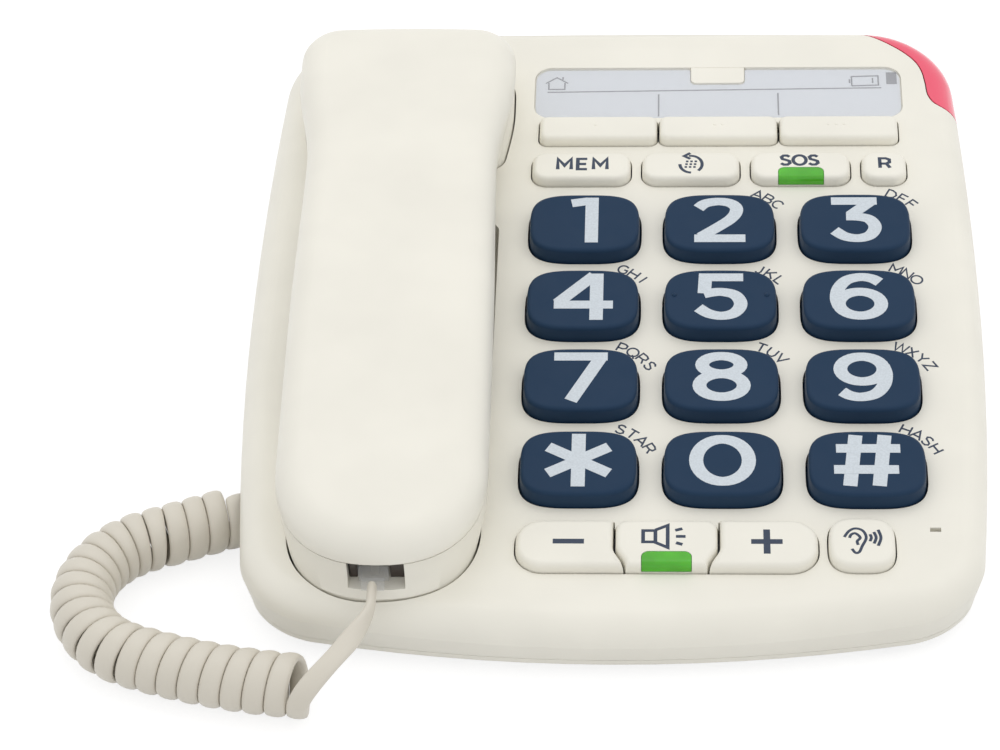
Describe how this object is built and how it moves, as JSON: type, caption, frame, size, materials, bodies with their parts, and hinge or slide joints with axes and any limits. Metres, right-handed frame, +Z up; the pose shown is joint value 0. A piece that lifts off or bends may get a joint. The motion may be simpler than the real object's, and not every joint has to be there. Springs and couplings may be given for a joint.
{
  "type": "corded desk telephone",
  "caption": "Corded desk telephone with large raised keys, a side cradle with its handset, a label window, a corner ring light and a curly handset cord on a sloped base.",
  "frame": {"origin": "middle of the base in plan, on the desk under the rubber feet", "axes": "+X to the user's right, +Y away from the user towards the high back edge, +Z up; the handset lies at -X, the keys at +X"},
  "size_m": [0.2406, 0.2468, 0.0689],
  "materials": {
    "ivory_plastic": "fine satin",
    "navy_plastic": "satin",
    "green_window": "gloss, translucent",
    "red_lens": "gloss, translucent",
    "clear_plastic": "clear gloss",
    "printed_card": "paper",
    "foot_rubber": "matte",
    "silicone": "matte",
    "cord_plastic": "satin",
    "circuit_board": "satin",
    "dark_plastic": "satin",
    "steel": "bare",
    "battery_jacket": "satin"
  },
  "bodies": {
    "base": {"upper_housing": "ivory_plastic", "lower_housing": "ivory_plastic", "ring_light_lens": "red_lens", "label_card": "printed_card", "label_cover": "clear_plastic", "keypad_mat": "silicone", "main_circuit_board": "circuit_board", "loudspeaker": "dark_plastic", "speakerphone_microphone": "steel", "handset_jack_base": "dark_plastic", "cord_plug_base": "clear_plastic", "line_jack": "dark_plastic", "foot_front_left": "foot_rubber", "foot_front_right": "foot_rubber", "foot_back_left": "foot_rubber", "foot_back_right": "foot_rubber", "housing_screw_1": "steel", "housing_screw_2": "steel", "housing_screw_3": "steel", "housing_screw_4": "steel", "battery_door": "ivory_plastic", "battery_cell_1": "battery_jacket", "battery_cell_2": "battery_jacket", "battery_cell_3": "battery_jacket", "curly_cord": "cord_plastic"},
    "handset": {"handset_outer_shell": "ivory_plastic", "handset_inner_shell": "ivory_plastic", "handset_jack": "dark_plastic", "cord_plug_handset": "clear_plastic", "receiver_capsule": "dark_plastic", "handset_microphone": "steel", "handset_weight": "steel"},
    "hook_switch": {"hook_switch": "ivory_plastic"},
    "key_1": {"key_1": "navy_plastic"},
    "key_2": {"key_2": "navy_plastic"},
    "key_3": {"key_3": "navy_plastic"},
    "key_4": {"key_4": "navy_plastic"},
    "key_5": {"key_5": "navy_plastic"},
    "key_6": {"key_6": "navy_plastic"},
    "key_7": {"key_7": "navy_plastic"},
    "key_8": {"key_8": "navy_plastic"},
    "key_9": {"key_9": "navy_plastic"},
    "key_star": {"key_star": "navy_plastic"},
    "key_0": {"key_0": "navy_plastic"},
    "key_hash": {"key_hash": "navy_plastic"},
    "key_memory_1": {"key_memory_1": "ivory_plastic"},
    "key_memory_2": {"key_memory_2": "ivory_plastic"},
    "key_memory_3": {"key_memory_3": "ivory_plastic"},
    "key_mem": {"key_mem": "ivory_plastic"},
    "key_redial": {"key_redial": "ivory_plastic"},
    "key_sos": {"key_sos": "ivory_plastic", "sos_light_window": "green_window"},
    "key_r": {"key_r": "ivory_plastic"},
    "key_volume_down": {"key_volume_down": "ivory_plastic"},
    "key_speaker": {"key_speaker": "ivory_plastic", "speaker_light_window": "green_window"},
    "key_volume_up": {"key_volume_up": "ivory_plastic"},
    "key_boost": {"key_boost": "ivory_plastic"}
  },
  "joints": [
    {"name": "handset_lift", "type": "slide", "parent": "base", "child": "handset", "axis": [0, -0.1564, 0.9877], "range_m": [0, 0.08]},
    {"name": "hook_switch_rise", "type": "slide", "parent": "base", "child": "hook_switch", "axis": [0, -0.1564, 0.9877], "range_m": [0, 0.004]},
    {"name": "key_1_press", "type": "slide", "parent": "base", "child": "key_1", "axis": [0, 0.1564, -0.9877], "range_m": [0, 0.0015], "stiffness_N_per_m": 600, "springref_m": -0.0005},
    {"name": "key_2_press", "type": "slide", "parent": "base", "child": "key_2", "axis": [0, 0.1564, -0.9877], "range_m": [0, 0.0015], "stiffness_N_per_m": 600, "springref_m": -0.0005},
    {"name": "key_3_press", "type": "slide", "parent": "base", "child": "key_3", "axis": [0, 0.1564, -0.9877], "range_m": [0, 0.0015], "stiffness_N_per_m": 600, "springref_m": -0.0005},
    {"name": "key_4_press", "type": "slide", "parent": "base", "child": "key_4", "axis": [0, 0.1564, -0.9877], "range_m": [0, 0.0015], "stiffness_N_per_m": 600, "springref_m": -0.0005},
    {"name": "key_5_press", "type": "slide", "parent": "base", "child": "key_5", "axis": [0, 0.1564, -0.9877], "range_m": [0, 0.0015], "stiffness_N_per_m": 600, "springref_m": -0.0005},
    {"name": "key_6_press", "type": "slide", "parent": "base", "child": "key_6", "axis": [0, 0.1564, -0.9877], "range_m": [0, 0.0015], "stiffness_N_per_m": 600, "springref_m": -0.0005},
    {"name": "key_7_press", "type": "slide", "parent": "base", "child": "key_7", "axis": [0, 0.1564, -0.9877], "range_m": [0, 0.0015], "stiffness_N_per_m": 600, "springref_m": -0.0005},
    {"name": "key_8_press", "type": "slide", "parent": "base", "child": "key_8", "axis": [0, 0.1564, -0.9877], "range_m": [0, 0.0015], "stiffness_N_per_m": 600, "springref_m": -0.0005},
    {"name": "key_9_press", "type": "slide", "parent": "base", "child": "key_9", "axis": [0, 0.1564, -0.9877], "range_m": [0, 0.0015], "stiffness_N_per_m": 600, "springref_m": -0.0005},
    {"name": "key_star_press", "type": "slide", "parent": "base", "child": "key_star", "axis": [0, 0.1564, -0.9877], "range_m": [0, 0.0015], "stiffness_N_per_m": 600, "springref_m": -0.0005},
    {"name": "key_0_press", "type": "slide", "parent": "base", "child": "key_0", "axis": [0, 0.1564, -0.9877], "range_m": [0, 0.0015], "stiffness_N_per_m": 600, "springref_m": -0.0005},
    {"name": "key_hash_press", "type": "slide", "parent": "base", "child": "key_hash", "axis": [0, 0.1564, -0.9877], "range_m": [0, 0.0015], "stiffness_N_per_m": 600, "springref_m": -0.0005},
    {"name": "key_memory_1_press", "type": "slide", "parent": "base", "child": "key_memory_1", "axis": [0, 0.1564, -0.9877], "range_m": [0, 0.0015], "stiffness_N_per_m": 600, "springref_m": -0.0005},
    {"name": "key_memory_2_press", "type": "slide", "parent": "base", "child": "key_memory_2", "axis": [0, 0.1564, -0.9877], "range_m": [0, 0.0015], "stiffness_N_per_m": 600, "springref_m": -0.0005},
    {"name": "key_memory_3_press", "type": "slide", "parent": "base", "child": "key_memory_3", "axis": [0, 0.1564, -0.9877], "range_m": [0, 0.0015], "stiffness_N_per_m": 600, "springref_m": -0.0005},
    {"name": "key_mem_press", "type": "slide", "parent": "base", "child": "key_mem", "axis": [0, 0.1564, -0.9877], "range_m": [0, 0.0015], "stiffness_N_per_m": 600, "springref_m": -0.0005},
    {"name": "key_redial_press", "type": "slide", "parent": "base", "child": "key_redial", "axis": [0, 0.1564, -0.9877], "range_m": [0, 0.0015], "stiffness_N_per_m": 600, "springref_m": -0.0005},
    {"name": "key_sos_press", "type": "slide", "parent": "base", "child": "key_sos", "axis": [0, 0.1564, -0.9877], "range_m": [0, 0.0015], "stiffness_N_per_m": 600, "springref_m": -0.0005},
    {"name": "key_r_press", "type": "slide", "parent": "base", "child": "key_r", "axis": [0, 0.1564, -0.9877], "range_m": [0, 0.0015], "stiffness_N_per_m": 600, "springref_m": -0.0005},
    {"name": "key_volume_down_press", "type": "slide", "parent": "base", "child": "key_volume_down", "axis": [0, 0.1564, -0.9877], "range_m": [0, 0.0015], "stiffness_N_per_m": 600, "springref_m": -0.0005},
    {"name": "key_speaker_press", "type": "slide", "parent": "base", "child": "key_speaker", "axis": [0, 0.1564, -0.9877], "range_m": [0, 0.0015], "stiffness_N_per_m": 600, "springref_m": -0.0005},
    {"name": "key_volume_up_press", "type": "slide", "parent": "base", "child": "key_volume_up", "axis": [0, 0.1564, -0.9877], "range_m": [0, 0.0015], "stiffness_N_per_m": 600, "springref_m": -0.0005},
    {"name": "key_boost_press", "type": "slide", "parent": "base", "child": "key_boost", "axis": [0, 0.1564, -0.9877], "range_m": [0, 0.0015], "stiffness_N_per_m": 600, "springref_m": -0.0005}
  ],
  "couplings": [
    {"joint": "hook_switch_rise", "follows": "handset_lift", "ratio": 0.05}
  ]
}
